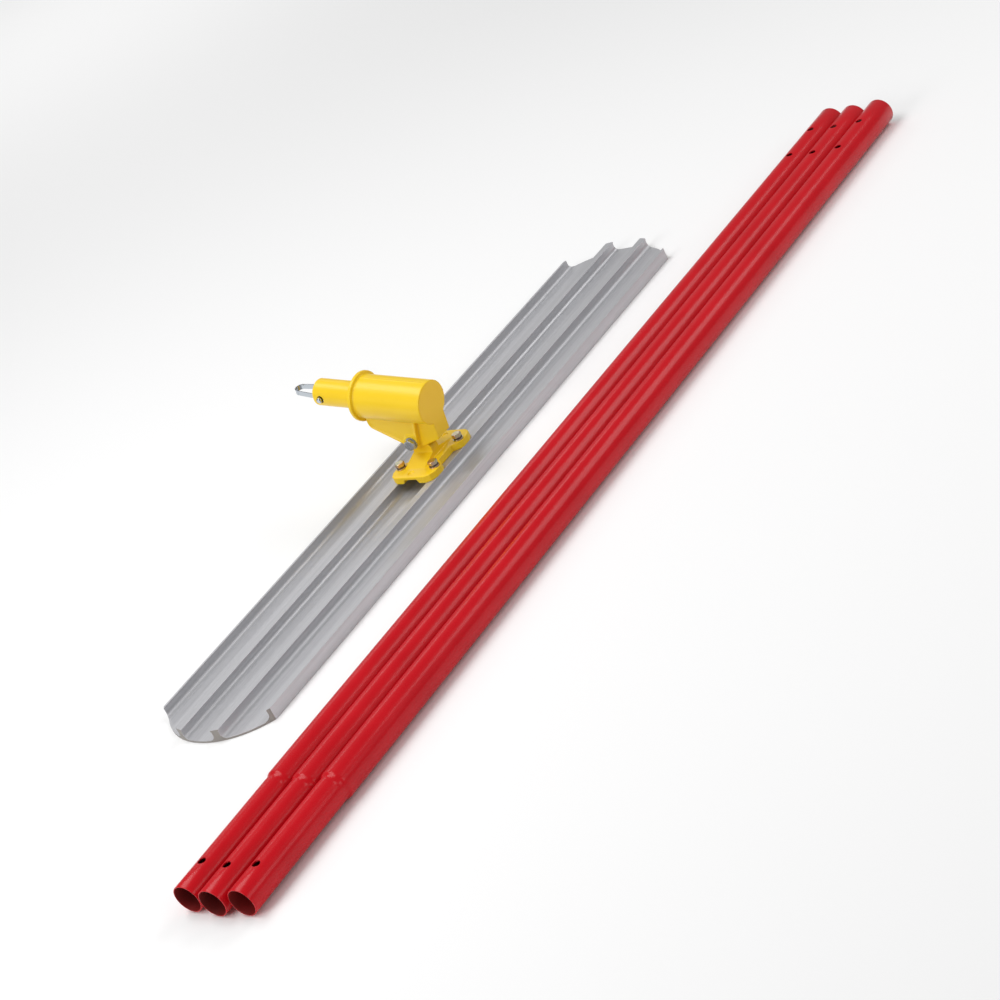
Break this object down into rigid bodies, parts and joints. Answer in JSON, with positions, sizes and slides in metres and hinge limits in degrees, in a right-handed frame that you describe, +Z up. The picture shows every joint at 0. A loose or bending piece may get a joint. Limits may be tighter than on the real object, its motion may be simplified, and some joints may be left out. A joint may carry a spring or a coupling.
{
  "type": "bull float",
  "caption": "Bull float with a ribbed round-ended aluminium blade, a cast worm-gear tilt bracket on its middle and loose plug-together handle sections beside it.",
  "frame": {"origin": "centre of the blade's flat underside", "axes": "+X along the blade and the handle sections, towards the sections' open ends; +Y towards the side the bracket's adapter points to; +Z up from the floor"},
  "size_m": [1.8338, 0.5454, 0.1762],
  "materials": {
    "blade_aluminium": "mill finish, drawn lengthwise",
    "yellow_powder": "glossy yellow powder coat on a casting",
    "red_powder": "glossy red powder coat",
    "yellow_zinc": "yellow zinc plate",
    "dark_spring_steel": "oiled spring steel",
    "zinc_plate": "bright zinc plate",
    "machined_steel": "machined, greased",
    "bronze": "sintered bronze",
    "spring_bright": "bright nickel plate",
    "seal_rubber": "matt black"
  },
  "bodies": {
    "float": {"blade": "blade_aluminium", "bracket_base": "yellow_powder", "blade_bolts": "yellow_zinc", "lock_washers": "dark_spring_steel", "flat_washers": "yellow_zinc", "gear_sector": "machined_steel", "pivot_bush": "bronze"},
    "housing": {"gear_housing": "yellow_powder", "pivot_bolt": "zinc_plate", "pivot_washers": "zinc_plate", "pivot_nut": "zinc_plate", "front_bush": "bronze", "rear_bush": "bronze", "thrust_washers": "machined_steel", "retaining_ring": "dark_spring_steel", "shaft_seal": "seal_rubber"},
    "drive": {"worm": "machined_steel", "handle_adapter": "yellow_powder", "adapter_pin": "dark_spring_steel", "spring_clip": "spring_bright"},
    "button": {"clip_arm": "spring_bright", "snap_button": "spring_bright"},
    "section_1": {"handle_section_1": "red_powder"},
    "section_2": {"handle_section_2": "red_powder"},
    "section_3": {"handle_section_3": "red_powder"}
  },
  "joints": [
    {"name": "tilt", "type": "hinge", "parent": "float", "child": "housing", "pos_m": [0, 0.004, 0.0625], "axis": [1, 0, 0], "range_deg": [-5, 35]},
    {"name": "adapter_twist", "type": "hinge", "parent": "housing", "child": "drive", "pos_m": [0, -0.00711, 0.12553], "axis": [0, 0.9848, 0.1736], "range_deg": [-562, 82]},
    {"name": "button_press", "type": "hinge", "parent": "drive", "child": "button", "pos_m": [-0.0085, 0.18345, 0.15913], "axis": [0, -0.1736, 0.9848], "range_deg": [0, 5.3], "stiffness_Nm_per_rad": 4, "springref_deg": -5.73},
    {"name": "section_1_lift", "type": "slide", "parent": "float", "child": "section_1", "axis": [0, 0, 1], "range_m": [0, 0.3]},
    {"name": "section_2_lift", "type": "slide", "parent": "float", "child": "section_2", "axis": [0, 0, 1], "range_m": [0, 0.3]},
    {"name": "section_3_lift", "type": "slide", "parent": "float", "child": "section_3", "axis": [0, 0, 1], "range_m": [0, 0.3]}
  ],
  "couplings": [
    {"joint": "adapter_twist", "follows": "tilt", "ratio": -16}
  ]
}
